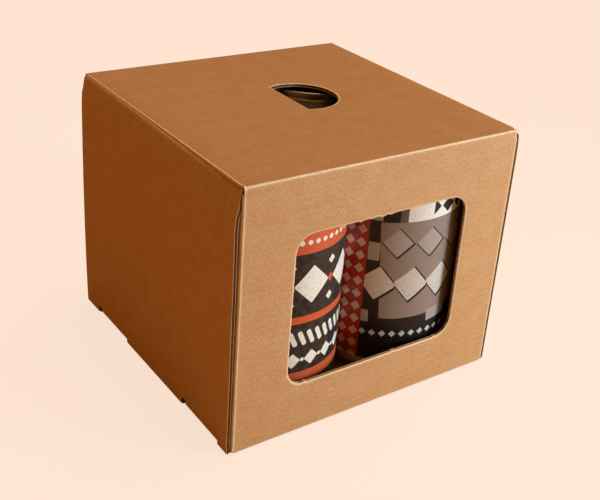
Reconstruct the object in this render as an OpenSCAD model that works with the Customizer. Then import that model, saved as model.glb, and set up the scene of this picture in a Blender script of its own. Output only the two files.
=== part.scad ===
// Carry box for four drinks cans, folded from one die-cut sheet of corrugated board.
// Two double side walls roll over the ears of the back wall and of the windowed front panel.
// X runs across the front, Y from the front to the back, and Z up from the base.

/* [Cans] */
// Diameter of a can's body
can_d = 66.2; // [62:0.1:70]
// Height of a can
can_h = 115.2; // [112:0.1:125]
// Diameter over the rolled seam at a can's top
seam_d = 54.4; // [52:0.1:56]
// Height of the rolled seam
seam_h = 2.5; // [2:0.1:3.2]
// Height of the shoulder, from the straight body to the seam
shoulder_h = 13.5; // [10:0.5:18]
// Depth of the sunk end below the seam's top
sink_depth = 6.4; // [5:0.1:7.5]
// Height of the end panel above the bottom of its ring groove
panel_rise = 2.2; // [1.5:0.1:2.8]
// Diameter of the ring that a can stands on
stand_d = 48; // [44:0.5:52]
// Height of the domed base inside the stand ring
dome_h = 10; // [8:0.5:11]
// Height of the sloping chime at a can's foot
chime_h = 9.5; // [7:0.5:12]
// Radius of the bead that a can stands on
bead_r = 1.4; // [1:0.1:2]
// Setback of the neck behind the seam
neck_in = 0.9; // [0.6:0.1:1.4]
// Thickness of the rolled seam
seam_t = 1.2; // [1:0.1:1.5]
// Width of the ring groove in the sunk end
groove_w = 1.6; // [1.2:0.1:2]
// Distance of the ring groove inside the seam's outer face
groove_in = 2.6; // [2.2:0.1:3]
// Length of the pull tab
tab_l = 24; // [20:0.5:27]
// Width of the pull tab
tab_w = 15; // [12:0.5:17]
// Thickness of the pull tab's curled rim
tab_t = 1.1; // [0.8:0.1:1.6]
// Radius of the finger hole in the pull tab
tab_hole_r = 4.2; // [3:0.1:5]

/* [Board] */
// Thickness of the corrugated board
board = 1.5; // [1.2:0.1:2]
// Outer radius of a sharp crease
crease_r = 1.1; // [0.8:0.1:1.5]
// Distance of a flap's hinge line from both outer faces of its crease
hinge_in = 0.5; // [0.3:0.05:0.6]
// Gap that keeps two folded pieces of the sheet apart
fold_play = 0.2; // [0.15:0.05:0.4]

/* [Room for the cans] */
// Gap beside each can, across the box
can_play = 0.25; // [0.2:0.05:1]
// Gap between the front panel and the front cans
front_play = 2.9; // [1:0.1:6]
// Gap between the front and the back cans
row_play = 2.2; // [0.3:0.1:5]
// Gap between the back cans and the back wall
back_play = 0.3; // [0.2:0.1:3]
// Gap above the cans
head_play = 1.8; // [1:0.1:5]

/* [Side walls] */
// Gap between an ear and the inner ply
ear_play = 0.4; // [0.3:0.1:0.8]
// Gap between an ear and the foot of the outer ply
ply_play = 0.5; // [0.4:0.1:0.8]
// How far the outer ply bulges past its foot
belly = 0.65; // [0.2:0.05:2]
// Height at which the bulge is full
belly_z = 71; // [40:1:90]
// Height over which the outer ply curves in to the lid
roll_h = 15; // [10:0.5:20]
// How far the top of the outer ply leans in past the lid's edge
roll_in = 0.55; // [0.3:0.05:0.8]
// Setback of the outer ply's raw edges from the front and back faces
ply_set = 1; // [0.5:0.1:2]
// Height of the relief at the top corners of the outer ply
relief_h = 8.5; // [8.5:0.5:14]
// Outer radius of the two folds of the roll
fold_r = 0.9; // [0.6:0.1:1]

/* [Tabs and slots] */
// Length of a slot along the base crease
slot_l = 31.5; // [20:0.5:40]
// Height of a slot's cut in the outer ply
slot_h = 3; // [2:0.1:4]
// Distance from the front face to the front slot
slot_front = 8.5; // [6:0.5:15]
// Distance from the back face to the back slot
slot_back = 14.8; // [6:0.1:20]
// Gap round a tab in its slot
slot_play = 0.4; // [0.2:0.1:1]
// Height of a tab's tip above the ground
tab_lift = 0.4; // [0.2:0.1:0.8]
// Corner radius of a tab's tip
tip_r = 2; // [0.5:0.5:3]

/* [Ears] */
// Length of an ear, from the crease to its free edge
ear_l = 31; // [20:0.5:36]
// Height of an ear's lower edge at its crease
ear_foot = 3; // [2.8:0.1:6]
// Rise of an ear's lower edge at its free end
ear_rise = 8; // [7:0.5:15]
// Drop of an ear's upper edge below the top of the box, at its crease
ear_drop = 10; // [9.5:0.5:15]
// Further drop of an ear's upper edge at its free end
ear_fall = 5; // [0:0.5:12]
// Corner radius of an ear's free end
ear_r = 4; // [1:0.5:6]

/* [Front panel] */
// Width of the window
window_w = 89; // [60:1:100]
// Height of the window
window_h = 70; // [40:1:78]
// Height of the sill below the window
window_z = 24; // [15:1:28]
// Corner radius of the window
window_r = 8.5; // [4:0.5:15]
// Height of the panel's foot above the ground
panel_lift = 0.3; // [0.2:0.1:0.8]
// Radius of the panel's bottom corners
foot_r = 1.8; // [0.5:0.1:2.4]

/* [Hand hole] */
// Radius of the round side of the hand hole
hole_r = 17; // [14:0.5:19]
// Distance from the straight edge to the centre of the round side
hole_off = 5.6; // [3:0.1:7]
// Distance of the hand hole behind the middle of the lid
hole_y = 4.5; // [-5:0.5:8]
// Gap round the pushed-in flap when it lies in its hole
cut_play = 0.3; // [0.2:0.1:0.8]
// Radius of the relief notches beside the lid's front crease
notch_r = 0.8; // [0.4:0.1:1.2]

/* [Hidden] */
over = 1;

// Overall sizes, worked out from the four cans that the box holds
wall_stack = 2 * board + ear_play;
carton_w = 2 * can_d + 3 * can_play + 2 * wall_stack;
carton_d = 2 * board + front_play + 2 * can_d + row_play + back_play;
carton_h = 2 * board + can_h + head_play;
left_x = -carton_w / 2;
front_y = -carton_d / 2;
back_y = carton_d / 2;
lid_z = carton_h - board;

// Levels and distances of the side wall, measured in from the lid's edge
inner_u = board + ear_play;
roof_z = lid_z - fold_play;
roll_z = roof_z - roll_h;
relief_z = carton_h - relief_h;
ply_steps = 12;
wall_front = front_y + board + fold_play;
wall_back = back_y - board - fold_play;

// Where the can stands, and its own levels
can_r = can_d / 2;
can_x = can_play / 2 + can_r;
can_front_y = front_y + board + front_play + can_r;
can_back_y = back_y - board - back_play - can_r;
seam_z = can_h - seam_h;
body_top = seam_z - shoulder_h;
groove_z = can_h - sink_depth;
end_z = groove_z + panel_rise;

// A vector turned through an angle, and the unit vector from one point to another
function turned(v, w) = [v[0] * cos(w) - v[1] * sin(w), v[0] * sin(w) + v[1] * cos(w)];
function unit(a, b) = [b[0] - a[0], b[1] - a[1]] / norm([b[0] - a[0], b[1] - a[1]]);

// The arc of radius r that rounds corner b between points a and c
function round_corner(a, b, c, r, n = 5) =
    let (
        u = unit(a, b),
        v = unit(b, c),
        turn = asin(u[0] * v[1] - u[1] * v[0]),
        side = sign(turn),
        start = [b[0], b[1]] - r * tan(abs(turn) / 2) * u,
        hub = start + side * r * turned(u, 90)
    )
    [for (i = [0 : n]) hub - side * r * turned(u, 90 + turn * i / n)];

// An outline of [x, y, corner radius] points, with each radius drawn as an arc
function outline(p) =
    [for (i = [0 : len(p) - 1])
        each p[i][2] > 0
            ? round_corner(p[i - 1], p[i], p[i + 1], p[i][2])
            : [[p[i][0], p[i][1]]]];

// Outer face of the outer ply: it bulges above its foot and curves in under the lid
function ply_face(z) =
    z < belly_z ? -(board + ply_play) - belly * sin(90 * z / belly_z) :
    z < roll_z ? -(board + ply_play + belly) :
    -(board + ply_play + belly)
        + (board + ply_play + belly + roll_in - board / 2) * (1 - cos(90 * (z - roll_z) / roll_h));

// Points up the outer ply's face, moved in by a thickness, from one height to another
function ply_points(inset, z0, z1) =
    [for (i = [0 : ply_steps]) let (z = z0 + (z1 - z0) * i / ply_steps) [ply_face(z) + inset, z, 0]];
function reversed(p) = [for (i = [len(p) - 1 : -1 : 0]) p[i]];

// A flat outline given in Y and Z, drawn as a plate from one X to another
module plate_x(x0, x1) {
    translate([x0, 0, 0]) rotate([90, 0, 90]) linear_extrude(x1 - x0) children();
}

// A flat outline given in X and Z, drawn as a plate from one Y to another
module plate_y(y0, y1) {
    translate([0, y1, 0]) rotate([90, 0, 0]) linear_extrude(y1 - y0) children();
}

// Both sides of what is drawn for the left side
module both_sides() {
    for (side = [0, 1]) mirror([side, 0, 0]) children();
}

// Base, back wall and lid, which are one strip of board with two creases
module wrap() {
    plate_x(left_x, -left_x) polygon(outline([
        [wall_front, 0, 0],
        [back_y, 0, crease_r],
        [back_y, carton_h, crease_r],
        [front_y, carton_h, crease_r],
        [front_y, lid_z, 0],
        [back_y - board, lid_z, 0],
        [back_y - board, board, 0],
        [wall_front, board, 0]
    ]));
}

// Outer ply alone, clear of the front panel, from the base crease up to the relief below its roll
module outer_ply() {
    plate_y(front_y + ply_set, back_y - ply_set) translate([left_x, 0]) polygon(outline(concat(
        [[-fold_play, 0, 0], [ply_face(0), 0, crease_r]],
        ply_points(0, 2 * board, relief_z),
        reversed(ply_points(board, board, relief_z)),
        [[-fold_play, board, 0]]
    )));
}

// Whole side wall: outer ply, roll over the top, and inner ply down to the base
module rolled_wall() {
    plate_y(wall_front, wall_back) translate([left_x, 0]) polygon(outline(concat(
        [[wall_stack, 0, 0], [ply_face(0), 0, crease_r]],
        ply_points(0, 2 * board, roof_z - board),
        [
            [ply_face(roof_z), roof_z, fold_r],
            [inner_u + board, roof_z, fold_r],
            [inner_u + board, board + fold_play, 0],
            [inner_u, board + fold_play, 0],
            [inner_u, roof_z - board, 0]
        ],
        reversed(ply_points(board, board, roof_z - board)),
        [[wall_stack, board, 0]]
    )));
}

// Start and end of the two slots along the base crease
slots = [
    [front_y + slot_front, front_y + slot_front + slot_l],
    [back_y - slot_back - slot_l, back_y - slot_back]
];

// Cuts through the base and the foot of the outer ply, for the tabs
module slot_cuts() {
    for (s = slots)
        translate([left_x + ply_face(0) - over, s[0], -over])
            cube([inner_u + board + slot_play - ply_face(0) + over, s[1] - s[0], slot_h + over]);
}

// Tabs of the inner ply, standing in the slots
module tabs() {
    for (s = slots)
        plate_x(left_x + inner_u, left_x + inner_u + board) polygon(outline([
            [s[0] + slot_play, slot_h + board, 0],
            [s[0] + slot_play, tab_lift, tip_r],
            [s[1] - slot_play, tab_lift, tip_r],
            [s[1] - slot_play, slot_h + board, 0]
        ]));
}

// Outline of an ear in Y and Z, from its crease at y0 towards its free end
module ear_outline(y0, way) {
    root = y0 + way * board / 2;
    end = y0 + way * ear_l;
    polygon(outline([
        [root, ear_foot, 0],
        [end, ear_foot + ear_rise, ear_r],
        [end, carton_h - ear_drop - ear_fall, ear_r],
        [root, carton_h - ear_drop, 0]
    ]));
}

// Cut that rounds the upright crease between the back wall and its ear
module crease_cut() {
    translate([left_x, back_y, ear_foot]) linear_extrude(carton_h - ear_drop - ear_foot)
        difference() {
            translate([-over, -crease_r]) square([crease_r + over, crease_r + over]);
            translate([crease_r, -crease_r]) circle(crease_r, $fn = 32);
        }
}

// Round side of the hand hole, cut off along a straight edge at X = root
module hand_hole_outline(gap = 0, root = 0) {
    difference() {
        translate([hole_off, hole_y]) circle(hole_r - gap, $fn = 96);
        translate([root - 2 * hole_r, front_y]) square([2 * hole_r, carton_d]);
    }
}

module carton() {
    color("peru") {
        difference() {
            union() {
                wrap();
                both_sides() {
                    outer_ply();
                    rolled_wall();
                    plate_x(left_x, left_x + board) ear_outline(back_y, -1);
                }
            }
            both_sides() {
                slot_cuts();
                crease_cut();
                translate([left_x, wall_front, lid_z - fold_play / 2])
                    cylinder(h = board + over, r = notch_r, $fn = 24);
            }
            translate([0, 0, lid_z - fold_play / 2])
                linear_extrude(board + over) hand_hole_outline();
        }
        both_sides() tabs();
    }
}

// Window of the front panel, with round corners
module window_outline() {
    translate([0, window_z + window_h / 2]) {
        square([window_w, window_h - 2 * window_r], center = true);
        square([window_w - 2 * window_r, window_h], center = true);
        for (x = [-1, 1], z = [-1, 1])
            translate([x * (window_w / 2 - window_r), z * (window_h / 2 - window_r)])
                circle(window_r, $fn = 64);
    }
}

// Front panel and its two ears, which tuck in between the plies of the side walls
module front_panel() {
    panel_top = lid_z - fold_play;
    color("burlywood") difference() {
        union() {
            translate([0, 0, panel_lift]) linear_extrude(panel_top - panel_lift)
                polygon(outline([
                    [left_x, front_y + board, 0],
                    [left_x, front_y, crease_r],
                    [-left_x, front_y, crease_r],
                    [-left_x, front_y + board, 0]
                ]));
            both_sides() plate_x(left_x, left_x + board) ear_outline(front_y, 1);
        }
        plate_y(front_y - over, front_y + board + over) window_outline();
        both_sides() plate_y(front_y - over, front_y + board + over)
            translate([left_x + foot_r, panel_lift + foot_r]) difference() {
                translate([-foot_r - over, -foot_r - over]) square(foot_r + over);
                circle(foot_r, $fn = 32);
            }
    }
}

// Flap of the hand hole, cut from the lid and pushed in to hang from the straight edge
module hand_flap() {
    crease_gap = board + fold_play - 2 * hinge_in;
    hinge = [-hinge_in, 0, carton_h - hinge_in];
    color("peru") translate(hinge) rotate([0, 90, 0]) translate(-hinge)
        translate([0, 0, lid_z]) linear_extrude(board) hand_hole_outline(cut_play, crease_gap);
}

// Half outline of a sealed can: domed base, chime, body, shoulder, seam and sunk end
module can_outline() {
    stand_r = stand_d / 2;
    seam_r = seam_d / 2;
    neck_r = seam_r - neck_in;
    groove_r = seam_r - groove_in;
    dome_r = stand_r - 2 * bead_r;
    dome_drop = dome_h / 2;
    sphere_r = (dome_r * dome_r + dome_drop * dome_drop) / (2 * dome_drop);
    dome_steps = 8;
    polygon(outline(concat(
        [for (i = [0 : dome_steps]) let (r = dome_r * i / dome_steps)
            [r, dome_h - sphere_r + sqrt(sphere_r * sphere_r - r * r), 0]],
        [
            [stand_r - bead_r, 0, 0.8 * bead_r],
            [stand_r + bead_r, 0, 0.8 * bead_r],
            [stand_r + 2 * bead_r, 1.2 * bead_r, bead_r],
            [can_r - 0.1 * chime_h, 0.75 * chime_h, 0.3 * chime_h],
            [can_r, 1.1 * chime_h, 0.3 * chime_h],
            [can_r, body_top, 0.35 * shoulder_h],
            [can_r - 0.15 * shoulder_h, body_top + 0.42 * shoulder_h, 0.5 * shoulder_h],
            [neck_r, seam_z - 0.1 * shoulder_h, 0.1 * shoulder_h],
            [neck_r, seam_z, 0],
            [seam_r, seam_z, 0.15 * seam_h],
            [seam_r, can_h, 0.45 * seam_t],
            [seam_r - seam_t, can_h, 0.4 * seam_t],
            [groove_r, groove_z, 0.35 * groove_w],
            [groove_r - groove_w, groove_z, 0.35 * groove_w],
            [groove_r - 1.2 * groove_w, end_z, 0.3 * groove_w],
            [0, end_z, 0]
        ]
    )));
}

// Pull tab, held to the end panel by its rivet
module pull_tab() {
    nose_r = tab_w / 2;
    centre = tab_l / 2 - nose_r;
    rivet_r = 0.16 * tab_w;
    rivet_back = -0.12 * tab_l;
    translate([0, rivet_back, end_z]) {
        translate([0, 0, -tab_t]) cylinder(h = 2.7 * tab_t, r = rivet_r, $fn = 32);
        translate([0, -rivet_back, tab_t / 2]) linear_extrude(tab_t) difference() {
            union() {
                for (side = [-1, 1]) translate([0, side * centre]) circle(nose_r, $fn = 48);
                translate([-nose_r, -centre]) square([tab_w, 2 * centre]);
            }
            translate([0, centre]) circle(tab_hole_r, $fn = 32);
        }
    }
}

// One sealed can standing on the base, its pull tab turned through an angle
module can(x, y, turn) {
    translate([x, y, board]) rotate([0, 0, turn]) {
        rotate_extrude($fn = 96) can_outline();
        pull_tab();
    }
}

module can_front_left() {
    color("darkorange") can(-can_x, can_front_y, 25);
}

module can_front_right() {
    color("dimgray") can(can_x, can_front_y, -60);
}

module can_back_left() {
    color("silver") can(-can_x, can_back_y, 140);
}

module can_back_right() {
    color("silver") can(can_x, can_back_y, 200);
}

carton();
front_panel();
hand_flap();
can_front_left();
can_front_right();
can_back_left();
can_back_right();
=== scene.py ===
# %% [markdown]
# # A carry box for four drinks cans
# The box is folded from one die-cut sheet of corrugated board. This lesson dresses its CAD model:
# it cuts each part of the sheet flat, as the die does, gives it two liners and a fluted sheet
# between them, and folds it into place. Then it turns the four cans and prints their labels.
#
# The CAD model comes first, because most pieces here ride on one of its bodies.
# %% Load the frame
import math

import bpy
import numpy as np
from mathutils import Matrix, Vector
from mathutils.geometry import delaunay_2d_cdt


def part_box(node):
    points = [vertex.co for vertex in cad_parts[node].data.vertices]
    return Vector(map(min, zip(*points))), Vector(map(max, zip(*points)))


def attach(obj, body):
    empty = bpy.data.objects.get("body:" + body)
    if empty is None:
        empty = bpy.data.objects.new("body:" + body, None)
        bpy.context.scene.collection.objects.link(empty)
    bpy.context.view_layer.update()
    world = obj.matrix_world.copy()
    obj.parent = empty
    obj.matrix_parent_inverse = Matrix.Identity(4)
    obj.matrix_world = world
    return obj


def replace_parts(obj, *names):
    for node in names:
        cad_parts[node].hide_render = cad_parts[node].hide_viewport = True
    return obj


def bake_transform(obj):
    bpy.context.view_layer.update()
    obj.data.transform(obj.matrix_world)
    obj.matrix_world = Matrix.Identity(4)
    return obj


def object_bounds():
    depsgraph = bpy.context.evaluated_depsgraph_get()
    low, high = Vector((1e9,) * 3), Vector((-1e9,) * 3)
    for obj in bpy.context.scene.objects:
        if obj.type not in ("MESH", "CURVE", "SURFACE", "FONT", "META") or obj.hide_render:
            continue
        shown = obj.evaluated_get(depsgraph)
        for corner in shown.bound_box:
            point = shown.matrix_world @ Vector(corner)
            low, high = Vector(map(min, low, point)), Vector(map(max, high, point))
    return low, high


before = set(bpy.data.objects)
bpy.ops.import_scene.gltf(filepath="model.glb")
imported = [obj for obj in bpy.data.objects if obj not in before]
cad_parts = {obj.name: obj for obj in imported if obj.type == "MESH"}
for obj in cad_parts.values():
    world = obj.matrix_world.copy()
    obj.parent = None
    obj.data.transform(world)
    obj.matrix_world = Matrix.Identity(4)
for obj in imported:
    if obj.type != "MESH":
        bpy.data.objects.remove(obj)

cad_low, cad_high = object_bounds()
carton_low, carton_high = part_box("carton")
for part, size in (("box", cad_high - cad_low), ("carton alone", carton_high - carton_low)):
    print(part, "mm:", [round(1000 * v, 1) for v in size])

# %% [markdown]
# ## Camera
# The camera stands where the photographer stood, left of the box and a little above it. Its place was
# worked out from the corners of the box. A small shift puts the box in the frame without turning the
# camera, so the upright edges lean as they do in the picture. Everything below is worked out in
# millimetres and scaled to metres at the end, because board and cans are specified in millimetres.
# %% Camera
MM = 0.001


def add_object(name, data):
    thing = bpy.data.objects.new(name, data)
    bpy.context.collection.objects.link(thing)
    return thing


def make_camera(aim, distance, azimuth, elevation, roll, focal_px, shift_px, width_px=600):
    az, el, ro = (math.radians(v) for v in (azimuth, elevation, roll))
    back = Vector((math.sin(az) * math.cos(el), -math.cos(az) * math.cos(el), math.sin(el)))
    right = Vector((math.cos(az), math.sin(az), 0))
    up = back.cross(right)
    across = math.cos(ro) * right + math.sin(ro) * up
    upward = -math.sin(ro) * right + math.cos(ro) * up
    data = bpy.data.cameras.new("camera")
    data.sensor_width = 36
    data.lens = 36 * focal_px / width_px
    data.shift_x, data.shift_y = (v / width_px for v in shift_px)
    camera = add_object("camera", data)
    turn = Matrix((across, upward, back)).transposed().to_4x4()
    camera.matrix_world = Matrix.Translation((Vector(aim) + distance * back) * MM) @ turn
    return camera


camera = make_camera(aim=(-31.2, -70.4, 111.4), distance=382.5, azimuth=-37.77, elevation=24.33,
                     roll=4.97, focal_px=997.7, shift_px=(-30, -60))
bpy.context.scene.camera = camera
bpy.context.scene.view_settings.view_transform = "Standard"
print("camera, mm:", [round(1000 * v) for v in camera.location])

# %% [markdown]
# ## Node helpers
# Every finish is made of nodes. One helper adds a node and fills or links its inputs, so that a
# material reads like a list of what it does. Others do sums, mix colours and make noise, and the last
# two start a material and plug its colour, roughness and relief in.
# %% Node helpers


def put(tree, kind, inputs=None, **settings):
    node = tree.nodes.new("ShaderNode" + kind)
    for key, value in settings.items():
        setattr(node, key, value)
    for key, value in (inputs or {}).items():
        if isinstance(value, bpy.types.NodeSocket):
            tree.links.new(value, node.inputs[key])
        else:
            node.inputs[key].default_value = value
    return node


def calc(tree, operation, *values, clamp=False):
    inputs = dict(enumerate(values))
    return put(tree, "Math", inputs, operation=operation, use_clamp=clamp).outputs[0]


def mixed(tree, factor, a, b, how="MIX"):
    inputs = {0: factor, 6: a, 7: b}
    return put(tree, "Mix", inputs, data_type="RGBA", blend_type=how).outputs[2]


def ramp(tree, value, low, high, to_low=0.0, to_high=1.0):
    inputs = {0: value, 1: low, 2: high, 3: to_low, 4: to_high}
    return put(tree, "MapRange", inputs, interpolation_type="SMOOTHSTEP").outputs[0]


def noise(tree, vector, scale, detail=3.0, roughness=0.55):
    inputs = {"Vector": vector, "Scale": scale, "Detail": detail, "Roughness": roughness}
    return put(tree, "TexNoise", inputs).outputs["Fac"]


def stretched(tree, vector, scale, turn=0.0):
    inputs = {"Vector": vector, "Rotation": (0, 0, turn), "Scale": scale}
    return put(tree, "Mapping", inputs).outputs[0]


def rgb(red, green, blue):
    """A screen colour of 0 to 255, as the light values that shaders work in."""
    bent = [((c / 255 + 0.055) / 1.055) ** 2.4 if c > 10 else c / 3295 for c in (red, green, blue)]
    return (*bent, 1.0)


def start_material(name, uv_map):
    """A new material, its nodes, its shader and the surface's flat place in metres."""
    material = bpy.data.materials.new(name)
    material.use_nodes = True
    tree = material.node_tree
    return material, tree, tree.nodes["Principled BSDF"], put(tree, "UVMap", uv_map=uv_map).outputs[0]


def dress(tree, shader, colour, rough, height, strength, depth):
    relief = put(tree, "Bump", {"Height": height, "Strength": strength, "Distance": depth})
    for socket, value in (("Base Color", colour), ("Roughness", rough), ("Normal", relief.outputs[0])):
        tree.links.new(value, shader.inputs[socket])


def in_mm(tree, flat):
    return put(tree, "VectorMath", {0: flat, "Scale": 1000.0}, operation="SCALE").outputs[0]


# %% [markdown]
# ## Floor, background and light
# The box stands on a pale peach floor. The floor shows its own colour to the camera and takes the
# box's shadow, so it blends with the background however far it runs. A softbox in front and to the
# right lights the window side most, a wide soft light from above lights the lid, and a warm fill
# keeps the shaded side the deep brown that kraft board goes in shade.
# %% Floor and background
PEACH = rgb(255, 231, 212)


def seen_plainly(tree):
    """1 for rays that should see the plain background: those from the camera or through glass."""
    path = put(tree, "LightPath")
    return calc(tree, "MAXIMUM", path.outputs["Is Camera Ray"], path.outputs["Is Transmission Ray"])


def make_floor(radius=4.0, drop=0.0004):
    ring = [(radius * math.cos(a), radius * math.sin(a), -drop)
            for a in np.linspace(0, 2 * math.pi, 96, endpoint=False)]
    mesh = bpy.data.meshes.new("floor")
    mesh.from_pydata(ring, [], [tuple(range(96))])
    floor = add_object("floor", mesh)
    material = bpy.data.materials.new("floor_peach")
    material.use_nodes = True
    tree = material.node_tree
    tree.nodes.clear()
    paint = put(tree, "BsdfDiffuse", {"Color": (0.66, 0.36, 0.17, 1)})
    shadow_catcher = put(tree, "BsdfDiffuse", {"Color": (0.14, 0.13, 0.12, 1)})
    glow = put(tree, "Emission", {"Color": (0.90, 0.72, 0.60, 1), "Strength": 1.0})
    seen = put(tree, "AddShader", {0: shadow_catcher.outputs[0], 1: glow.outputs[0]})
    choice = put(tree, "MixShader", {0: seen_plainly(tree), 1: paint.outputs[0], 2: seen.outputs[0]})
    put(tree, "OutputMaterial", {"Surface": choice.outputs[0]})
    mesh.materials.append(material)


def make_world(fill, strength):
    world = bpy.data.worlds.new("studio")
    world.use_nodes = True
    tree = world.node_tree
    tree.nodes.clear()
    soft = put(tree, "Background", {"Color": fill, "Strength": strength})
    plain = put(tree, "Background", {"Color": PEACH, "Strength": 1.0})
    choice = put(tree, "MixShader", {0: seen_plainly(tree), 1: soft.outputs[0], 2: plain.outputs[0]})
    put(tree, "OutputWorld", {"Surface": choice.outputs[0]})
    bpy.context.scene.world = world


make_floor()
make_world(fill=(1.0, 0.509, 0.085, 1), strength=0.277)

# %% Lamps


def aim_lamp(name, kind, place, aim, energy, **settings):
    data = bpy.data.lights.new(name, kind)
    data.energy = energy
    for key, value in settings.items():
        setattr(data, key, value)
    lamp = add_object(name, data)
    lamp.location = Vector(place)
    lamp.rotation_mode = "QUATERNION"
    lamp.rotation_quaternion = (Vector(aim) - Vector(place)).to_track_quat("-Z", "Y")
    lamp.visible_camera = False


aim_lamp("softbox", "AREA", (0.42, -0.52, 0.18), (0, -0.05, 0.05), 1.31,
         shape="DISK", size=0.3, spread=math.radians(100), color=(0.70, 0.92, 1.0))
aim_lamp("ceiling", "SUN", (0.3, 0.0, 1.0), (0, 0, 0), 1.14,
         angle=math.radians(50), color=(1.0, 0.76, 0.625))

# %% [markdown]
# ## Kraft board
# Kraft paper is unbleached. Seen close it has long light and dark fibres, soft clouds where the pulp
# lies thicker, and faint ridges where it is glued to the flutes. Its creases and cut edges are painted
# paler: partly because the fibres break there and show their insides, and partly as a painted highlight
# where light would catch the crease or the edge. The material reads two things that the sheet
# carries: its flat position in metres (across and along the flutes), so the grain runs on over every
# fold, and a number for that pale line, which is 1 on a crease or a cut and fades to 0 beside it.
# %% Kraft material
PITCH = 3.4


def kraft_material(name, body, pale, dark, ridges=1.0, bump=0.55):
    material, tree, shader, flat = start_material(name, "flat")
    place = in_mm(tree, flat)
    parts = put(tree, "SeparateXYZ", {0: place})
    clouds = noise(tree, place, 0.11, 2.0)
    pulp = noise(tree, stretched(tree, place, (1.5, 0.85, 1.0)), 1.0, 4.0, 0.7)
    fibres = noise(tree, stretched(tree, place, (4.0, 0.5, 1.0)), 1.0, 3.0, 0.6)
    strays = noise(tree, stretched(tree, place, (0.8, 3.6, 1.0), 0.9), 1.0, 2.0, 0.6)
    # The pale mark on creases and cuts: broken fibres, and partly a painted highlight.
    wear_and_highlight = put(tree, "Attribute", attribute_name="wear_and_highlight").outputs["Fac"]
    broken = noise(tree, place, 1.9, 4.0, 0.7)
    bare_and_highlight = calc(tree, "MULTIPLY", wear_and_highlight, ramp(tree, broken, 0.34, 0.56, 0.6, 1.0), clamp=True)

    colour = mixed(tree, ramp(tree, clouds, 0.32, 0.68, 0.0, 0.20), body, pale)
    colour = mixed(tree, ramp(tree, pulp, 0.53, 0.68, 0.0, 0.70), colour, pale)
    colour = mixed(tree, ramp(tree, pulp, 0.46, 0.32, 0.0, 0.75), colour, dark)
    colour = mixed(tree, ramp(tree, fibres, 0.56, 0.70, 0.0, 0.45), colour, pale)
    colour = mixed(tree, ramp(tree, strays, 0.60, 0.72, 0.0, 0.65), colour, dark)
    wave = calc(tree, "SINE", calc(tree, "MULTIPLY", parts.outputs[1], 2 * math.pi / PITCH))
    colour = mixed(tree, ramp(tree, wave, -1.0, 1.0, 0.0, 0.05 * ridges), colour, dark)
    # Paler colour on the mark: broken fibres, and partly a painted highlight.
    colour = mixed(tree, calc(tree, "MULTIPLY", bare_and_highlight, 0.95), colour, rgb(252, 228, 194))

    rough = calc(tree, "ADD", ramp(tree, pulp, 0.3, 0.7, 0.62, 0.76), calc(tree, "MULTIPLY", bare_and_highlight, 0.12))
    shader.inputs["Specular IOR Level"].default_value = 0.35
    height = calc(tree, "ADD", calc(tree, "MULTIPLY", fibres, 0.5), calc(tree, "MULTIPLY", pulp, 0.7))
    height = calc(tree, "MULTIPLY_ADD", wave, 0.16 * ridges, height)
    height = calc(tree, "MULTIPLY_ADD", calc(tree, "MULTIPLY", broken, bare_and_highlight), 2.2, height)
    dress(tree, shader, colour, rough, height, bump, 0.00015)
    return material


LINER = kraft_material("kraft_liner", rgb(204, 151, 101), rgb(228, 184, 138), rgb(158, 104, 60))
# The wavy sheet is very dark: the medium's own darker tone, and painted shade for the hollows between the
# liners at a cut.
FLUTE_DARK_AND_SHADE = kraft_material("kraft_flute_dark_and_shade", rgb(66, 38, 24), rgb(84, 54, 36), rgb(46, 26, 16),
                       ridges=0.0, bump=0.25)

# %% [markdown]
# ## Cutting the sheet flat
# A die cuts board flat, so each part of the sheet starts as a flat outline with holes. The outline and
# every fold line become edges of one triangulation, which keeps the cut edges exact and the folds
# smooth. A plain grid could do it too, but it would step along the round corners of the window.
# %% Flat cutting


def rounded(corners, steps=6, closed=True):
    """Points of an outline of (x, y, radius) corners, with each radius drawn as an arc."""
    points, count = [], len(corners)
    for i, (x, y, radius) in enumerate(corners):
        here = np.array((x, y), float)
        if radius <= 0 or (not closed and i in (0, count - 1)):
            points.append(here)
            continue
        before = np.array(corners[i - 1][:2]) - here
        after = np.array(corners[(i + 1) % count][:2]) - here
        before, after = before / np.linalg.norm(before), after / np.linalg.norm(after)
        half = math.acos(np.clip(before @ after, -1, 1)) / 2
        middle = before + after
        hub = here + middle / np.linalg.norm(middle) * radius / math.sin(half)
        start = here + before * radius / math.tan(half) - hub
        stop = here + after * radius / math.tan(half) - hub
        turn = math.pi - 2 * half
        side = math.copysign(1, start[0] * stop[1] - start[1] * stop[0])
        for t in np.linspace(0, side * turn, steps + 1):
            points.append(hub + [start[0] * math.cos(t) - start[1] * math.sin(t),
                                 start[0] * math.sin(t) + start[1] * math.cos(t)])
    return np.array(points)


def inside(points, loop):
    """Which points lie inside a closed loop."""
    x, y = points[:, 0], points[:, 1]
    a, b = loop, np.roll(loop, -1, axis=0)
    odd = np.zeros(len(points), bool)
    for (x0, y0), (x1, y1) in zip(a, b):
        if y0 != y1:
            odd ^= ((y0 > y) != (y1 > y)) & (x < (x1 - x0) * (y - y0) / (y1 - y0) + x0)
    return odd


def edge_distance(points, loops, joins=()):
    """Distance of each point from the nearest cut edge. A join is a line that the sheet runs on over."""
    best = np.full(len(points), 1e9)
    for loop in loops:
        for a, b in zip(loop, np.roll(loop, -1, axis=0)):
            if any(abs(a[k] - v) < 0.02 and abs(b[k] - v) < 0.02 for k, v in joins):
                continue
            d = b - a
            t = np.clip((points - a) @ d / max(d @ d, 1e-12), 0, 1)
            best = np.minimum(best, np.linalg.norm(points - a - t[:, None] * d, axis=1))
    return best


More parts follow.
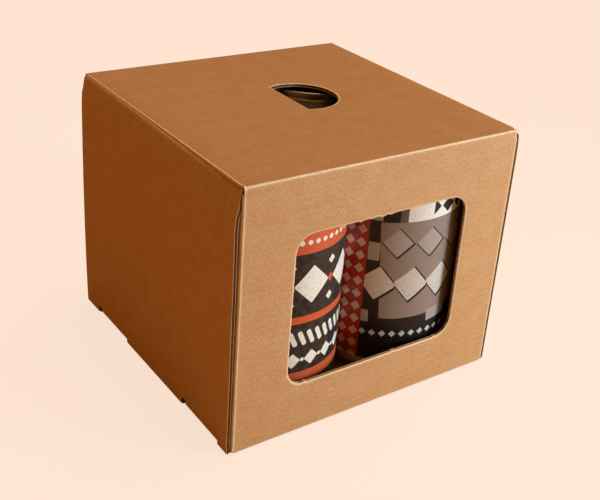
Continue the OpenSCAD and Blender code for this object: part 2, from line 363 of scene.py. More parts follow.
def moved_in(loop, distance):
    """A closed loop moved towards its left by a small distance."""
    along = np.roll(loop, -1, axis=0) - np.roll(loop, 1, axis=0)
    along = along / np.linalg.norm(along, axis=1)[:, None]
    return loop + distance * np.stack([-along[:, 1], along[:, 0]], axis=1)


def across_at(places, low, high):
    """Lines that cross the sheet, one at each place along it."""
    return [np.array([(s, low), (s, high)]) for s in places]


def along_at(places, low, high):
    """Lines that run along the sheet, one at each place across it."""
    return [np.array([(low, t), (high, t)]) for t in places]


def cut_flat(loops, lines, margins=(0.1, 0.22, 0.42, 0.68, 0.95, 1.25)):
    """Triangles of the sheet inside the first loop and outside the others, with all lines as edges."""
    points, edges = [], []
    rings = [(loop, True) for loop in loops] + [(line, False) for line in lines]
    for i, loop in enumerate(loops):
        area = np.sum(loop[:, 0] * np.roll(loop[:, 1], -1) - np.roll(loop[:, 0], -1) * loop[:, 1])
        way = 1 if (area > 0) == (i == 0) else -1
        rings += [(moved_in(loop, way * m), True) for m in margins]
    for ring, closed in rings:
        first = len(points)
        points += [Vector(p) for p in ring]
        last = len(points) - 1
        edges += [(k, k + 1) for k in range(first, last)] + ([(last, first)] if closed else [])
    flat, _, triangles, *_ = delaunay_2d_cdt(points, edges, [], 0, 1e-5)
    flat, triangles = np.array([tuple(p) for p in flat]), np.array(triangles)
    centres = flat[triangles].mean(axis=1)
    keep = inside(centres, loops[0])
    for hole in loops[1:]:
        keep &= ~inside(centres, hole)
    return flat, triangles[keep]


print("a rounded square has", len(rounded([(0, 0, 1), (5, 0, 1), (5, 5, 1), (0, 5, 1)])), "points")

# %% [markdown]
# ## Folding it
# A fold is a path: the middle of the board's thickness, seen from the end of the crease. Each point of
# the flat sheet goes to its place along that path and then out from it by its layer's height. A scored
# crease is crushed, so the layers on its inside move towards the middle there, which also keeps them
# from crossing where the fold is tighter than the board is thick.
# %% Folding
BOARD, SKIN = 1.5, 0.2
HALF = BOARD / 2
BEND = 0.85
CREASE = BEND - HALF
ARC = CREASE * math.pi / 4
# Reach of the pale crease line, which is broken fibres and partly a painted highlight.
WEAR_AND_HIGHLIGHT_REACH = 0.2, 1.2
print(f"board {BOARD} mm thick, with creases rounded to {BEND} mm")


class Path:
    """A line in two directions that the board follows, with its outside on the path's right."""

    def __init__(self, corners, steps=8):
        self.points = rounded(corners, steps, closed=False)
        gaps = np.linalg.norm(np.diff(self.points, axis=0), axis=1)
        self.at = np.concatenate([[0], np.cumsum(gaps)])
        ways = np.diff(self.points, axis=0) / gaps[:, None]
        ways = np.concatenate([ways[:1], ways[:-1] + ways[1:], ways[-1:]])
        ways /= np.linalg.norm(ways, axis=1)[:, None]
        self.out = np.stack([ways[:, 1], -ways[:, 0]], axis=1)

    @property
    def length(self):
        return self.at[-1]

    def along(self, point):
        """Distance along the path of the place nearest to a point."""
        dense = np.linspace(0, self.length, 20000)
        places = np.stack([np.interp(dense, self.at, self.points[:, i]) for i in (0, 1)], axis=1)
        return dense[np.argmin(np.linalg.norm(places - np.array(point), axis=1))]

    def place(self, s, height):
        p = [np.interp(s, self.at, self.points[:, i]) for i in (0, 1)]
        n = [np.interp(s, self.at, self.out[:, i]) for i in (0, 1)]
        size = np.hypot(*n)
        return p[0] + n[0] / size * height, p[1] + n[1] / size * height


def near(value, centres, reach):
    """1 at any of the centres and 0 beyond its reach."""
    gaps = [np.abs(value - c) for c in centres] or [np.full_like(value, 1e9)]
    return np.clip(1 - np.min(gaps, axis=0) / reach, 0, 1)


def crease_wear_and_highlight(s, creases, beyond=WEAR_AND_HIGHLIGHT_REACH[0]):
    """Broken fibres and a painted highlight: most on the ridge of each crease, and a trace on the flat
    beside it.
    """
    ridge = np.clip(1.5 * near(s, creases, ARC + beyond), 0, 1)
    beside = near(s, creases, ARC + WEAR_AND_HIGHLIGHT_REACH[1])
    return np.maximum(ridge, 0.15 * beside)


# %% [markdown]
# ## Liners and flutes
# Corrugated board is two flat liners glued to a wavy sheet. The waves show only where the board is
# cut, so the wavy sheet is made only along the cut edges, as deep as one can look in. Every vertex
# keeps its flat place as a UV, with the first direction across the flutes' run, and a value for its
# pale line, which is broken fibres and partly a painted highlight.
#
# A score crushes the board for CRUSHED to each side, by SQUASH of its inner half. A pale line is painted
# just inside a cut, partly fibres broken where the knife's rubber pressed and partly a painted
# highlight on the edge, and a groove may follow further in.
# %% Layers of the board
MEDIUM, GLUE = 0.09, 0.08
LOOK_IN = 5.0
CRUSHED, SQUASH = 2.6, 0.62
BARE_AND_HIGHLIGHT_AT, BARE_AND_HIGHLIGHT_REACH = 0.45, 0.3
GROOVE_AT, GROOVE_REACH = 0.95, 0.24


def bell(value, reach):
    """1 at zero, and fading smoothly to both sides."""
    return np.exp(-((value / reach) ** 2))


def solid_from(flat, triangles, low, high, place):
    """A closed thin sheet between two heights over the flat triangles: vertices, faces, flat places."""
    used, triangles = np.unique(triangles, return_inverse=True)
    triangles, flat, low, high = triangles.reshape(-1, 3), flat[used], low[used], high[used]
    count = len(flat)
    a, b, c = flat[triangles[:, 0]], flat[triangles[:, 1]], flat[triangles[:, 2]]
    flip = (b - a)[:, 0] * (c - a)[:, 1] - (b - a)[:, 1] * (c - a)[:, 0] < 0
    triangles[flip] = triangles[flip][:, ::-1]
    sides = np.concatenate([triangles[:, [0, 1]], triangles[:, [1, 2]], triangles[:, [2, 0]]])
    known = {tuple(e) for e in sides}
    rim = [(i, j) for i, j in sides if (j, i) not in known]
    walls = [(j, i, i + count, j + count) for i, j in rim]
    faces = [tuple(t) for t in triangles] + [tuple(t[::-1] + count) for t in triangles] + walls
    spots = np.concatenate([place(flat, high), place(flat, low)])
    return spots, faces, np.concatenate([flat, flat]), used


def board_piece(name, loops, lines, place, across=0, creases=(), joins=(), body="box",
                crush=lambda flat: (0.3, 0.6, 0), pale=0.9, crease_paleness=1.0):
    """One part of the sheet, cut and folded. across is the flat direction that crosses the flutes.
    The die presses the outer liner down along its cuts: crush gives the share and the reach of that
    at each flat place, and the depth of a shallow groove just inside, which leaves a lip. pale sets
    how pale the line along the cuts is, and the last argument how pale the creases are: in both,
    broken fibres and partly a painted highlight."""
    skins = ((0.5, 0.5 - SKIN / BOARD), (-0.5 + SKIN / BOARD, -0.5))
    spots, faces, uvs, wear_and_highlight, slots, first = [], [], [], [], [], 0
    (left, bottom), (right, top) = loops[0].min(axis=0) - 1, loops[0].max(axis=0) + 1
    steps = [side * (ARC + d) for d in WEAR_AND_HIGHLIGHT_REACH for side in (-1, 1)]
    lines = list(lines) + across_at([c + d for c in creases for d in steps], bottom, top)
    low, high = loops[0][:, across].min(), loops[0][:, across].max()
    waves = np.arange(math.ceil(low / PITCH * 8), high / PITCH * 8) * PITCH / 8
    wave_lines = across_at(waves, bottom, top) if across == 0 else along_at(waves, left, right)
    sheets = [(cut_flat(loops, lines), skin) for skin in skins]
    sheets.append((cut_flat(loops, lines + wave_lines, margins=()), None))
    for (flat, triangles), skin in sheets:
        cut = edge_distance(flat, loops, joins)
        fold = near(flat[:, 0], creases, CRUSHED)
        fold = fold ** 2 * (3 - 2 * fold)
        wave = np.sin(2 * math.pi * flat[:, across] / PITCH)
        press, reach, groove = crush(flat)
        thin = 1 - press * bell(cut, reach) * (0.9 + 0.1 * wave)
        thin -= groove / BOARD * bell(cut - GROOVE_AT, GROOVE_REACH)
        if skin is None:
            triangles = triangles[cut[triangles].mean(axis=1) < LOOK_IN]
            middle = wave * (BOARD / 2 - SKIN - GLUE)
            low, high = middle - MEDIUM, middle + MEDIUM
        else:
            high, low = (np.full(len(flat), BOARD * v) for v in skin)
        low, high = (np.where(h < 0, h * (1 - SQUASH * fold), h) for h in (low, high))
        low, high = ((h + HALF) * thin - HALF for h in (low, high))
        new_spots, new_faces, new_uvs, used = solid_from(flat, triangles, low, high, place)
        spots.append(new_spots)
        faces += [tuple(i + first for i in face) for face in new_faces]
        first += len(new_spots)
        uvs.append(new_uvs if across == 1 else new_uvs[:, ::-1])
        # The pale mark on creases and cuts: broken fibres, and partly a painted highlight.
        mark = np.maximum(crease_paleness * crease_wear_and_highlight(flat[:, 0], creases),
                          pale * bell(cut - BARE_AND_HIGHLIGHT_AT, BARE_AND_HIGHLIGHT_REACH))
        wear_and_highlight.append(np.tile(mark[used], 2))
        slots += [0 if skin is not None else 1] * len(new_faces)
    return finish_board(name, np.concatenate(spots), faces, np.concatenate(uvs), np.concatenate(wear_and_highlight),
                        slots, body)


def new_piece(name, spots, faces, map_name, uvs, materials, slots, sharp):
    """An object from points in millimetres, with a UV for each point and a material for each face."""
    mesh = bpy.data.meshes.new(name)
    mesh.from_pydata((spots * MM).tolist(), [], faces)
    layer = mesh.uv_layers.new(name=map_name)
    index = np.zeros(len(mesh.loops), int)
    mesh.loops.foreach_get("vertex_index", index)
    layer.data.foreach_set("uv", (uvs[index] * MM).astype(np.float32).ravel())
    for material in materials:
        mesh.materials.append(material)
    mesh.polygons.foreach_set("material_index", slots)
    mesh.shade_smooth()
    mesh.set_sharp_from_angle(angle=math.radians(sharp))
    print(f"{name}: {len(faces)} faces")
    return add_object(name, mesh)


def finish_board(name, spots, faces, uvs, wear_and_highlight, slots, body):
    piece = new_piece(name, spots, faces, "flat", uvs, (LINER, FLUTE_DARK_AND_SHADE), slots, 38)
    marks = piece.data.attributes.new("wear_and_highlight", "FLOAT", "POINT")
    marks.data.foreach_set("value", wear_and_highlight.astype(np.float32))
    if body:
        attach(piece, body)
    return piece


# %% [markdown]
# ## Sizes of the box
# These are the box's own lines, in millimetres, with the origin at the middle of its base. The CAD
# model gives the width, the depth and the height. An ear reaches EAR back from the face it hangs on.
# Where a part of the sheet moves, its board stops STRIP short of the face, and a bent liner goes on.
# %% Sizes
SIDE = 69.975
FRONT, BACK, TOP = (round(1000 * v, 3) for v in (-carton_high.y, carton_high.y, carton_high.z))
GAP = 0.2
WALL = BACK - BOARD - GAP
ROOF = TOP - BOARD - GAP
BELLY_Z, ROLL_H = 71.0, 15.0
ROLL_Z = ROOF - ROLL_H
FOOT, BELLY = 0.5, 0.65
EAR = 31.0
STRIP = 1.1
print(f"sides at {SIDE}, front and back at {BACK}, top at {TOP}, side walls up to {ROOF}")


def ply_face(z):
    """How far the side wall's outer face stands inside the lid's edge, at each height."""
    full = -(BOARD + FOOT + BELLY)
    if z < BELLY_Z:
        return -(BOARD + FOOT) - BELLY * math.sin(math.pi / 2 * z / BELLY_Z)
    if z < ROLL_Z:
        return full
    return full + (0.55 - HALF - full) * (1 - math.cos(math.pi / 2 * (z - ROLL_Z) / ROLL_H))


# %% [markdown]
# The roll pulls the outer ply in at the front left, where the panel's ear holds it, and leaves it out at
# the right and the back. So its face is read from short tables, and blends from the front to the back.
# %% Pull of the roll
HEIGHTS = [0, 20, 39, 71, 90, 99, 104, 107, 109.5, 112, 114.5, 116, 118.3]
AT_FRONT = [-2.0, -2.05, -2.1, -2.3, -2.45, -2.6, -2.6, -2.4, -1.8, -0.95, -0.3, -0.1, 0.0]
AT_RIGHT = [-2.0, -2.05, -2.1, -2.3, -2.4, -2.4, -2.4, -2.35, -2.3, -2.2, -2.1, -1.9, -1.4]
AT_BACK = [-1.6, -2.1, -2.4, -2.62, -2.6, -2.55, -2.5, -2.45, -2.35, -2.15, -1.9, -1.7, -1.2]


def pull(z, y, front):
    """How far the outer ply lies further in than its usual face, at a height and a depth."""
    usual = np.array([ply_face(min(h, ROOF)) for h in HEIGHTS])
    t = np.clip((y - FRONT) / 48, 0, 1)
    back = t * t * (3 - 2 * t)
    soft = np.linspace(-2.5, 2.5, 7)
    front_pull = np.mean([np.interp(z + d, HEIGHTS, np.array(front) - usual) for d in soft], axis=0)
    back_pull = np.mean([np.interp(z + d, HEIGHTS, np.array(AT_BACK) - usual) for d in soft], axis=0)
    return front_pull + (back_pull - front_pull) * back


# %% [markdown]
# ## Side walls and base
# The side walls are double: the outer ply rises from the base, rolls over the top and comes down inside
# as the inner ply, whose tabs stand in slots cut across the base crease. Base and walls are one strip,
# with the flutes running round it. The outer ply bulges above its foot, and curves in under the lid,
# because the roll pulls it in. Each tab leans out into its slot, which has a notch at its rear end.
# %% Side walls and base
inner_x = SIDE - 1.9 - HALF
ply = [(SIDE - ply_face(z) - HALF, z, 0) for z in np.linspace(3, ROOF - BOARD, 26)]
roll_z = ROOF + 0.15 - HALF
right_half = ([(0, HALF, 0), (SIDE - ply_face(0) - HALF, HALF, CREASE)] + ply
              + [(SIDE - ply_face(ROOF) - HALF, roll_z, 0.3), (inner_x, roll_z, 0.3), (inner_x, 1.5, 0)])
left_half = [(-x, z, r) for x, z, r in right_half[:0:-1]]
wall_path = Path(left_half + right_half[1:])

foot = wall_path.along((SIDE - ply_face(0) - HALF, HALF))
edge = wall_path.along((inner_x, 2.8))
slot_in, slot_mid = (wall_path.along((SIDE - x, HALF)) for x in (3.8, 0.2))
slot_top, slot_high = (wall_path.along((SIDE - ply_face(z) - HALF, z)) for z in (2.5, 4.4))
strip_end = wall_path.length
NOTCH = 3.8
slots_y = [(FRONT + 8.5, FRONT + 40.0), (BACK - 46.3, BACK - 14.8)]


def tab_edge():
    """The inner ply's foot on the right side, from front to back, with its two tabs."""
    points = []
    for y0, y1 in slots_y:
        near_y, far_y = y0 + 0.4, y1 - NOTCH + 0.2
        points += [(edge, near_y, 0), (strip_end, near_y, 1.0), (strip_end, far_y, 1.0), (edge, far_y, 0)]
    return points


OUT = BACK - 1.0
BUTT = BACK - 3.4


def half_outline(top):
    """The strip's right half, from front to back. Its edges step in above top, to clear the lid."""
    step, easy = (2.2, 1.5) if top < 115 else (1.2, 0.8)
    at = wall_path.along((SIDE - ply_face(top) - HALF, top))
    front_side = [(foot - 1.2, -WALL, 0.3), (foot - 0.2, -OUT, 0.3), (at, -OUT, easy),
                  (at + step, -WALL, easy), (edge, -WALL, 1.2)]
    back_side = [(edge, WALL, 1.2), (at + step, WALL, easy), (at, OUT, easy), (foot - 0.2, OUT, 0.3),
                 (foot - 1.2, BUTT, 0)]
    return front_side + tab_edge() + back_side


def mirrored(corners):
    """The same corners on the strip's left half."""
    return [(strip_end - s, y, r) for s, y, r in corners[::-1]]


wall_outline = rounded(half_outline(116.4) + mirrored(half_outline(111.5)), 3)
wall_slots = []
for y0, y1 in slots_y:
    y2 = y1 - NOTCH
    slot = [(slot_in, y0, 0.3), (slot_top, y0, 0.3), (slot_top, y2, 0), (slot_high, y2, 0.2),
            (slot_high, y1, 0.3), (slot_mid, y1, 0.3), (slot_mid, y2, 0.2), (slot_in, y2, 0.3)]
    wall_slots += [rounded(slot, 2), rounded(mirrored(slot), 2)]

fold_stops = wall_path.at[1:-1]
fold_stops = fold_stops[np.concatenate([[True], np.diff(fold_stops) > 0.03])]
wall_lines = across_at(fold_stops, -BACK, BACK)
for x in (SIDE - 0.02, SIDE + 0.02, SIDE + 0.35):
    at = wall_path.along((x - 0.3, roll_z))
    wall_lines += across_at((at, strip_end - at), -BACK, BACK)
wall_lines += along_at((-66, -62, -56, -50, -44, -38, -30, -20, 0, 20, 40, 60), 0, strip_end)
LIP, LIP_REACH = 1.25, 1.3


def place_wall(flat, height):
    """Folds the strip, pulls the outer ply in, leans the tabs out and lifts the roll at the back left."""
    s, y = flat[:, 0], flat[:, 1]
    x, z = wall_path.place(s, height)
    outer = SIDE - ply_face(ROOF) - HALF
    on_roll = np.clip((abs(x) - inner_x) / (outer - inner_x), 0, 1)
    share = np.where(z > ROOF - 2, on_roll, abs(x) > inner_x + 1.2)
    share = np.where(z < 2.2, np.clip((abs(x) - 60) / 10, 0, 1), share)
    inward = np.where(x < 0, pull(z, y, AT_FRONT), pull(z, y, AT_RIGHT))
    lean = np.where(y < 0, 0.9, 1.5) * np.clip(1 - np.minimum(s, strip_end - s) / 4.5, 0, 1)
    x = x + np.sign(x) * (lean - share * inward)
    beyond = np.clip(-x - SIDE, 0, LIP_REACH)
    lip = np.where(beyond > 0.01, LIP * np.sqrt(1 - (beyond / LIP_REACH) ** 2), 0)
    lip = lip * np.clip((z - 116.8) / 1.5, 0, 1) * np.clip((y + 60) / 90, 0, 1)
    return np.stack([x, y, z + lip], axis=1)


roll_folds = [wall_path.along((SIDE - ply_face(ROOF) - HALF, roll_z)), wall_path.along((inner_x, roll_z))]
wall_creases = [foot, *roll_folds, strip_end - foot, *(strip_end - s for s in roll_folds)]
walls = board_piece("walls_and_base", [wall_outline] + wall_slots, wall_lines, place_wall,
                    across=1, creases=wall_creases, joins=[(1, BUTT)],
                    crush=lambda flat: (0.06, 0.6, 0), pale=0.35, crease_paleness=0.1)

# %% [markdown]
# ## Back wall and lid
# The back wall and the lid are one strip with two creases. Its flutes run across the box, so the lid's
# cut side edges show the waves. The D-shaped hand hole is cut in the lid, and its straight side is a
# crease where the flap was pushed in.
# %% Back wall and lid
HOLE_X, HOLE_Y, HOLE_R = 5.6, 4.5, 17.0
back_path = Path([(BUTT, HALF, 0), (BACK - HALF, HALF, CREASE), (BACK - HALF, TOP - HALF, CREASE),
                  (FRONT + STRIP, TOP - HALF, 0)])
lid_end = back_path.length


def lid_s(y):
    """Place along the strip of a place on the lid."""
    return lid_end - (y - (FRONT + STRIP))


def arc(cx, cy, radius, start, stop, steps):
    return [(cx + radius * math.cos(a), cy + radius * math.sin(a))
            for a in np.radians(np.linspace(start, stop, steps + 1))]


ear_low, ear_high = back_path.along((BACK - HALF, 3.0)), back_path.along((BACK - HALF, TOP - 10.0))
tuck = SIDE - 1.1
right_side = [(0, tuck, 0), (1.5, tuck, 0), (1.5, SIDE, 0.3), (ear_low, SIDE, 0.3), (ear_low, tuck, 0),
              (ear_high, tuck, 0), (ear_high, SIDE, 0.4)]
notch = [(lid_s(-WALL + 0.8), SIDE, 0), (lid_s(-WALL + 0.55), SIDE - 0.6, 0.2),
         (lid_s(-WALL), SIDE - 0.8, 0.3),
         (lid_s(-WALL - 0.5), SIDE - 0.62, 0.2), (lid_end, SIDE - 0.45, 0)]
back_outline = rounded([*right_side, *notch, *[(s, -x, r) for s, x, r in (right_side + notch)[::-1]]], 3)
meet = math.degrees(math.acos(-HOLE_X / HOLE_R))
hole_arc = arc(HOLE_X, HOLE_Y, HOLE_R, meet, -meet, 64)
hole_edge = [(-STRIP, HOLE_Y + side * HOLE_R * math.sin(math.radians(meet))) for side in (-1, 1)]
hand_hole = np.array([(lid_s(y), x) for x, y in hole_arc + hole_edge])
back_lines = across_at([*back_path.at[1:-1], *np.arange(8, lid_end - 4, 8)], -SIDE, SIDE)
back_lines += along_at(np.linspace(-60, 60, 13), 0, lid_end)


def place_back(flat, height):
    y, z = back_path.place(flat[:, 0], height)
    return np.stack([flat[:, 1], y, z], axis=1)


back_creases = [back_path.along((BACK - HALF, HALF)), back_path.along((BACK - HALF, TOP - HALF))]
edge_marks = [np.array([(s, side * (SIDE - 1.3)), (s, side * SIDE)])
              for s in np.arange(2, lid_end - 1, PITCH / 4) for side in (-1, 1)]
# The lid's cuts get the strongest pale line: broken fibres, and partly a painted highlight along the lid's
# edge.
lid = board_piece("back_and_lid", [back_outline, hand_hole], back_lines + edge_marks, place_back, across=0,
                  creases=back_creases, joins=[(0, 0), (0, lid_end), (1, -STRIP), (1, tuck), (1, -tuck)],
                  crush=lambda flat: np.where(abs(flat[:, 1]) > SIDE - 3, [[0.84], [0.12], [0.09]],
                                              [[0.12], [0.3], [0.02]]), pale=1.3)
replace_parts(walls, "carton")
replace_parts(lid, "carton")

# %% [markdown]
# ## Ears of the back wall
# The back wall's ears turn the corner and slide between the side walls' plies. Only their creases show,
# but they are whole, because a real ear is what keeps the back upright.
# %% Back ears


def ear_piece(name, side):
    path = Path([(side * tuck, BACK - HALF, 0), (side * (SIDE - HALF), BACK - HALF, CREASE),
                 (side * (SIDE - HALF), BACK - EAR, 0)])
    if side > 0:
        path.out = -path.out
    end, turn = path.length, path.along((side * (SIDE - HALF), BACK - HALF))
    low, high = 3.0, TOP - 10.0
    loop = rounded([(0, low, 0), (turn, low, 0), (end, low + 8, 4), (end, high - 5, 4), (turn, high, 0),
                    (0, high, 0)], 5)
    lines = across_at(path.at[1:-1], 0, TOP)

    def place(flat, height):
        x, y = path.place(flat[:, 0], height)
        return np.stack([x, y, flat[:, 1]], axis=1)

    return board_piece(name, [loop], lines, place, across=1, creases=[turn], joins=[(0, 0)])


for ear_name, ear_side in (("back_ear_left", -1), ("back_ear_right", 1)):
    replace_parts(ear_piece(ear_name, ear_side), "carton")

# %% [markdown]
# ## Front panel
# The front panel carries the window, and an ear at each side that slides between the plies. Its flutes
# run across the box too. The die leaves small nicks that hold the waste in place until it is pushed
# out, and each one tears into a tuft of fibres on the window's edge.
# %% Front panel
front_path = Path([(-SIDE + HALF, FRONT + EAR, 0), (-SIDE + HALF, FRONT + HALF, CREASE),
                   (SIDE - HALF, FRONT + HALF, CREASE), (SIDE - HALF, FRONT + EAR, 0)])
end = front_path.length
turn = front_path.along((-SIDE + HALF, FRONT + HALF))
panel_top, panel_foot, ear_foot = ROOF, 0.3, 0.6
left_ear = [(turn, TOP - 3.2, 0), (turn - 1.1, TOP - 3.2, 0.3), (turn - 1.5, TOP - 9.8, 0),
            (0, TOP - 15.0, 4), (0, 11.0, 4), (turn - 1.5, 3.4, 0), (turn - 1.1, ear_foot, 0.3),
            (turn, ear_foot, 0)]
panel_loop = left_ear + [(turn + 0.1, panel_foot, 0.3), (end - turn - 0.1, panel_foot, 0.3)]
panel_loop += [(end - s, z, r) for s, z, r in left_ear[::-1]]
panel_loop += [(end - turn, panel_top, 0), (turn, panel_top, 0)]
panel_outline = rounded(panel_loop, 5)

WINDOW_W, WINDOW_H, WINDOW_Z, WINDOW_R = 89.0, 70.0, 24.0, 8.5
middle = end / 2


def with_nicks(loop, nicks, seed=5):
    """The loop with a ragged tuft, up to its height, standing in at each nick's place."""
    rng = np.random.default_rng(seed)
    dense = []
    for a, b in zip(loop, np.roll(loop, -1, axis=0)):
        steps = max(1, int(np.linalg.norm(b - a) / 0.28))
        dense += [a + (b - a) * t for t in np.linspace(0, 1, steps, endpoint=False)]
    dense = np.array(dense)
    centre = dense.mean(axis=0)
    inward = moved_in(dense, 1.0) - dense
    inward *= np.sign(np.sum(inward * (centre - dense), axis=1))[:, None]
    for x, y, width, tall in nicks:
        gap = np.linalg.norm(dense - np.array((x, y)), axis=1)
        push = np.clip(1 - gap / width, 0, 1) ** 0.7 * tall * rng.uniform(0.15, 1.0, len(dense))
        dense = dense + inward * push[:, None]
    return dense


half_w, mid_z, half_h = WINDOW_W / 2, WINDOW_Z + WINDOW_H / 2, WINDOW_H / 2
window = rounded([(middle + sx * half_w, mid_z + sz * half_h, WINDOW_R)
                  for sx, sz in ((-1, -1), (1, -1), (1, 1), (-1, 1))], 14)
nicks = [(middle - 13.5, 94.0, 1.6, 1.1), (middle - 8.0, 94.0, 1.3, 0.8), (middle - 2.5, 94.0, 2.0, 1.3),
         (middle + 2.0, 94.0, 1.7, 1.0), (middle + 12.5, 94.0, 1.2, 0.8), (middle - 36.0, 24.2, 1.5, 1.0),
         (middle + 12.0, 24.0, 1.8, 0.8), (middle + 36.0, 24.8, 1.4, 1.0), (middle - 44.4, 70.0, 0.9, 0.4)]
window = with_nicks(window, nicks)
panel_lines = across_at([*front_path.at[1:-1], *np.arange(turn + 6, end - turn - 4, 6)], 0, TOP)
panel_lines += along_at(np.arange(6, TOP - 4, 6), 0, end)


def place_front(flat, height):
    x, y = front_path.place(flat[:, 0], height)
    return np.stack([x, y, flat[:, 1]], axis=1)


panel = board_piece("front_board", [panel_outline, window], panel_lines, place_front,
                    across=1, creases=[turn, end - turn], joins=[(1, panel_top)], body="front_panel")
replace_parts(panel, "front_panel")

# %% [markdown]
# ## Hand flap
# Pushing a hand through the lid folds the D down along its straight side. It hangs between the cans.
# %% Hand flap
FLAP_R, FLAP_X = HOLE_R - 0.3, 0.7
flap_arc = arc(HOLE_X, HOLE_Y, FLAP_R, meet - 4, -(meet - 4), 48)
flap_loop = np.array([(x, y) for x, y in flap_arc if x > FLAP_X])
ends_y = [HOLE_Y + side * math.sqrt(FLAP_R ** 2 - (HOLE_X - FLAP_X) ** 2) for side in (1, -1)]
flap_loop = np.concatenate([[(FLAP_X, ends_y[0])], flap_loop, [(FLAP_X, ends_y[1])]])


def place_flap(flat, height):
    return np.stack([-HALF + height, flat[:, 1], TOP - 1.0 - flat[:, 0]], axis=1)


flap = board_piece("flap_board", [flap_loop], [], place_flap, across=1, joins=[(0, FLAP_X)],
                   body="hand_flap")
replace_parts(flap, "hand_flap")

# %% [markdown]
# ## The two moving creases
# The panel and the flap turn on creases, where one liner runs over from the lid. Each crease is a strip
# of liner that runs from the lid's edge round to the panel or the flap as they stand, so no gap shows
# there.
# %% Moving creases


def crease_strip(name, across_from, down_to, run, place_ends, seed, beyond=0.006):
    """A strip of folded liner along run, with the frayed surface of a worked crease. It follows the lid
    at start and the moving part at stop."""
    path = Path([across_from, (down_to[0], across_from[1], CREASE), down_to], steps=12)
    bend = path.along((down_to[0], across_from[1]))
    rng = np.random.default_rng(seed)
    count = int((run[1] - run[0]) / 0.8)
    stations = np.linspace(run[0], run[1], count)
    rough = np.convolve(rng.normal(0, 1, count + 8), np.ones(5) / 5, "valid")[:count]
    stops = np.concatenate([path.at, [path.length * 0.02]])
    stops = np.unique(np.round(stops, 4))
    rows = []
    for height in (HALF, HALF - 0.45):
        for r, x in enumerate(stations):
            bulge = 0.09 * rough[r] if 0 < r < count - 1 else 0.0
            ripple = bulge * near(stops, [bend], ARC + 0.5)
            a, b = path.place(stops, np.full(len(stops), height) + np.minimum(ripple, 0.0))
            rows.append(np.stack([np.full(len(stops), x), a, b], axis=1))
    spots = place_ends(np.concatenate(rows))
    wide, shell = len(stops), len(stations) * len(stops)
    faces = []
    for layer in (0, 1):
        for r in range(count - 1):
            for c in range(wide - 1):
                i = layer * shell + r * wide + c
                quad = (i, i + wide, i + wide + 1, i + 1)
                faces.append(quad if layer == 0 else quad[::-1])
    rim = ([r * wide for r in range(count)] + [(count - 1) * wide + c for c in range(1, wide)]
           + [r * wide + wide - 1 for r in range(count - 2, -1, -1)] + [c for c in range(wide - 2, 0, -1)])
    for i, j in zip(rim, rim[1:] + rim[:1]):
        faces.append((i, j, j + shell, i + shell)[::-1])
    flat = np.tile(np.stack([np.repeat(stations, wide), np.tile(stops, count)], axis=1), (2, 1))
    # The crease's pale line: broken fibres, and partly a painted highlight, with a pale knob at each end of
    # the ridge.
    wear_and_highlight = np.tile(crease_wear_and_highlight(stops, [bend], beyond), (count, 1))
    ends = (stations < run[0] + 1.0) | (stations > run[1] - 1.0)
    wear_and_highlight[ends[:, None] & (abs(stops - bend) < 0.35)] = 1.0
    wear_and_highlight = np.tile(wear_and_highlight.ravel(), 2)
    strip = finish_board(name, spots, faces, flat, wear_and_highlight, [0] * len(faces), None)
    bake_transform(strip)


HOLE_HALF = 15.9
crease_strip(
    "front_crease", (FRONT + STRIP, TOP - HALF, 0), (FRONT + HALF, panel_top, 0), (-SIDE + 0.3, SIDE - 0.6),
    lambda p: p, 3)
crease_strip(
    "flap_crease", (-STRIP, TOP - HALF, 0), (-HALF, panel_top, 0),
    (HOLE_Y - HOLE_HALF, HOLE_Y + HOLE_HALF),
    lambda p: p[:, [1, 0, 2]], 4,
    beyond=0.4)
print("creases run", round(2 * SIDE), "and", round(2 * HOLE_HALF), "mm")

# %% [markdown]
# ## Cans
# A can is drawn and ironed from one disc of aluminium, so its body is turned here from one outline:
# domed base, chime, straight wall, shoulder, neck, rolled seam and sunk end. The print covers the wall
# and the shoulder, and stops short of the seam and the chime, where the bare metal shows.
# %% Can outline
CAN_R, CAN_H, SEAM_R, SEAM_H, SHOULDER = 33.1, 115.2, 27.2, 2.5, 13.5
SEAM_Z = CAN_H - SEAM_H
BODY_TOP = SEAM_Z - SHOULDER
SUNK_Z = CAN_H - 6.4
END_Z = SUNK_Z + 2.2


def can_outline():
    stand, bead, chime, neck, groove, wide = 24.0, 1.4, 9.5, SEAM_R - 0.9, SEAM_R - 2.6, 1.6
    dome = stand - 2 * bead
    ball = (dome ** 2 + 25) / 10
    corners = [(r, 10 - ball + math.sqrt(ball ** 2 - r ** 2), 0) for r in np.linspace(0, dome, 12)]
    corners += [(stand - bead, 0, 0.8 * bead), (stand + bead, 0, 0.8 * bead),
                (stand + 2 * bead, 1.2 * bead, bead), (CAN_R - 0.1 * chime, 0.75 * chime, 0.3 * chime),
                (CAN_R, 1.1 * chime, 0.3 * chime), (CAN_R, 14, 0), (CAN_R, 50, 0),
                (CAN_R, BODY_TOP, 0.35 * SHOULDER), (CAN_R - 2.0, BODY_TOP + 5.7, 0.5 * SHOULDER),
                (neck, SEAM_Z - 1.35, 1.35), (neck, SEAM_Z, 0), (SEAM_R, SEAM_Z, 0.37),
                (SEAM_R, CAN_H, 0.54), (SEAM_R - 1.2, CAN_H, 0.48), (groove, SUNK_Z, 0.56),
                (groove - wide, SUNK_Z, 0.56), (groove - 1.92, END_Z, 0.48), (18.5, END_Z, 0),
                (17.8, END_Z - 0.35, 0.3), (0, END_Z - 0.35, 0)]
    return rounded(corners, 6, closed=False)


